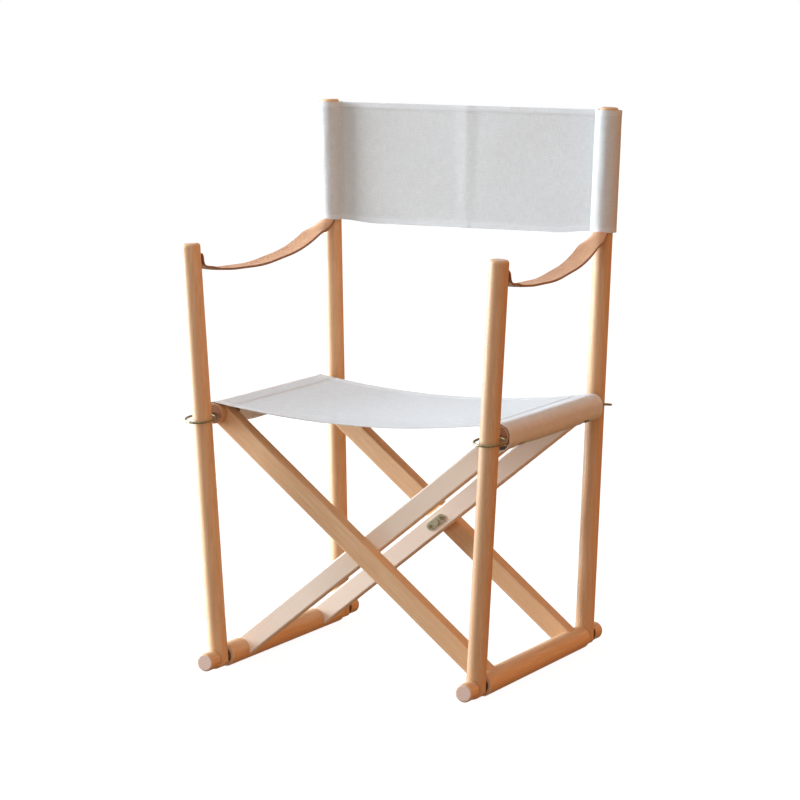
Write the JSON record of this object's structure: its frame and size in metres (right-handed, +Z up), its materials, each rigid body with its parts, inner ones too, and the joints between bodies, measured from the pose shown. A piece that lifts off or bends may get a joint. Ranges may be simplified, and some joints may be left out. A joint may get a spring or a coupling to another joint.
{
  "type": "folding chair",
  "caption": "Folding armchair: four round wooden posts, crossed wooden frames that close like scissors, canvas seat and back, and leather strap arms.",
  "frame": {"origin": "on the floor, midway between the four feet, at the centre of the chair's footprint", "axes": "+X to the right as seen from the front, -Y to the front of the chair, +Z up"},
  "size_m": [0.5556, 0.5, 0.8704],
  "materials": {
    "beech": "oiled beech",
    "canvas": "plain woven cotton canvas",
    "saddle_leather": "saddle leather, natural tan",
    "brass": "dull brass",
    "steel": "turned steel"
  },
  "bodies": {
    "front_left_post": {"front_left_post": "beech", "left_arm_strap": "saddle_leather", "front_left_strap_screw": "brass", "front_left_strap_washer": "brass"},
    "rear_left_post": {"rear_left_post": "beech", "rear_left_strap_screw": "brass", "left_back_sleeve": "canvas", "back_panel": "canvas"},
    "inner_frame": {"left_bottom_rail": "beech", "front_left_cap": "beech", "rear_left_cap": "beech", "left_foot_washers": "brass", "right_top_rail": "beech", "inner_front_leg": "beech", "inner_rear_leg": "beech", "front_pivot_plate": "brass", "rear_pivot_plate": "brass", "pivot_plate_screws": "brass", "front_pivot_pin": "steel", "rear_pivot_pin": "steel", "pivot_washers": "brass", "front_right_eye_screw": "brass", "rear_right_eye_screw": "brass"},
    "outer_frame": {"right_bottom_rail": "beech", "front_right_cap": "beech", "rear_right_cap": "beech", "right_foot_washers": "brass", "left_top_rail": "beech", "outer_front_leg": "beech", "outer_rear_leg": "beech", "front_left_eye_screw": "brass", "rear_left_eye_screw": "brass"},
    "front_right_post": {"front_right_post": "beech", "right_arm_strap": "saddle_leather", "front_right_strap_screw": "brass", "front_right_strap_washer": "brass"},
    "rear_right_post": {"rear_right_post": "beech", "rear_right_strap_screw": "brass", "right_back_sleeve": "canvas"},
    "front_left_ring": {"front_left_ring": "brass"},
    "rear_left_ring": {"rear_left_ring": "brass"},
    "front_right_ring": {"front_right_ring": "brass"},
    "rear_right_ring": {"rear_right_ring": "brass"},
    "seat_left": {"left_seat_sleeve": "canvas", "seat_panel": "canvas"},
    "seat_right": {"right_seat_sleeve": "canvas"}
  },
  "joints": [
    {"name": "fold", "type": "hinge", "parent": "front_left_post", "child": "inner_frame", "pos_m": [-0.223, 0, 0.0168], "axis": [0, -1, 0], "range_deg": [0, 47.1], "deforming": ["seat_panel", "back_panel", "left_arm_strap", "right_arm_strap"]},
    {"name": "rear_left_swing", "type": "hinge", "parent": "front_left_post", "child": "rear_left_post", "pos_m": [-0.223, 0, 0.0168], "axis": [0, -1, 0], "range_deg": [0, 0.6235]},
    {"name": "scissor_pivot", "type": "hinge", "parent": "inner_frame", "child": "outer_frame", "pos_m": [0, 0, 0.19868], "axis": [0, 1, 0], "range_deg": [0, 88.12]},
    {"name": "front_right_swing", "type": "hinge", "parent": "outer_frame", "child": "front_right_post", "pos_m": [0.223, 0, 0.0168], "axis": [0, -1, 0], "range_deg": [0, 47.12]},
    {"name": "rear_right_swing", "type": "hinge", "parent": "front_right_post", "child": "rear_right_post", "pos_m": [0.223, 0, 0.0168], "axis": [0, 1, 0], "range_deg": [0, 0.6235]},
    {"name": "front_left_ring_swing", "type": "hinge", "parent": "outer_frame", "child": "front_left_ring", "pos_m": [-0.245, 0, 0.3985], "axis": [0, -1, 0], "range_deg": [0, 44.07]},
    {"name": "rear_left_ring_swing", "type": "hinge", "parent": "outer_frame", "child": "rear_left_ring", "pos_m": [-0.245, 0, 0.3985], "axis": [0, -1, 0], "range_deg": [0, 44.07]},
    {"name": "front_right_ring_swing", "type": "hinge", "parent": "inner_frame", "child": "front_right_ring", "pos_m": [0.245, 0, 0.3985], "axis": [0, 1, 0], "range_deg": [0, 44.07]},
    {"name": "rear_right_ring_swing", "type": "hinge", "parent": "inner_frame", "child": "rear_right_ring", "pos_m": [0.245, 0, 0.3985], "axis": [0, 1, 0], "range_deg": [0, 44.07]},
    {"name": "seat_left_turn", "type": "hinge", "parent": "outer_frame", "child": "seat_left", "pos_m": [-0.245, 0, 0.3985], "axis": [0, -1, 0], "range_deg": [0, 44.07]},
    {"name": "seat_right_turn", "type": "hinge", "parent": "inner_frame", "child": "seat_right", "pos_m": [0.245, 0, 0.3985], "axis": [0, 1, 0], "range_deg": [0, 44.07]}
  ],
  "couplings": [
    {"joint": "rear_left_swing", "follows": "fold", "ratio": 0.012813},
    {"joint": "scissor_pivot", "follows": "fold", "ratio": 1.8706},
    {"joint": "front_right_swing", "follows": "fold", "ratio": 1},
    {"joint": "rear_right_swing", "follows": "fold", "ratio": 0.012813},
    {"joint": "front_left_ring_swing", "follows": "fold", "ratio": 0.93528},
    {"joint": "rear_left_ring_swing", "follows": "fold", "ratio": 0.93528},
    {"joint": "front_right_ring_swing", "follows": "fold", "ratio": 0.93528},
    {"joint": "rear_right_ring_swing", "follows": "fold", "ratio": 0.93528},
    {"joint": "seat_left_turn", "follows": "fold", "ratio": 0.93528},
    {"joint": "seat_right_turn", "follows": "fold", "ratio": 0.93528}
  ]
}
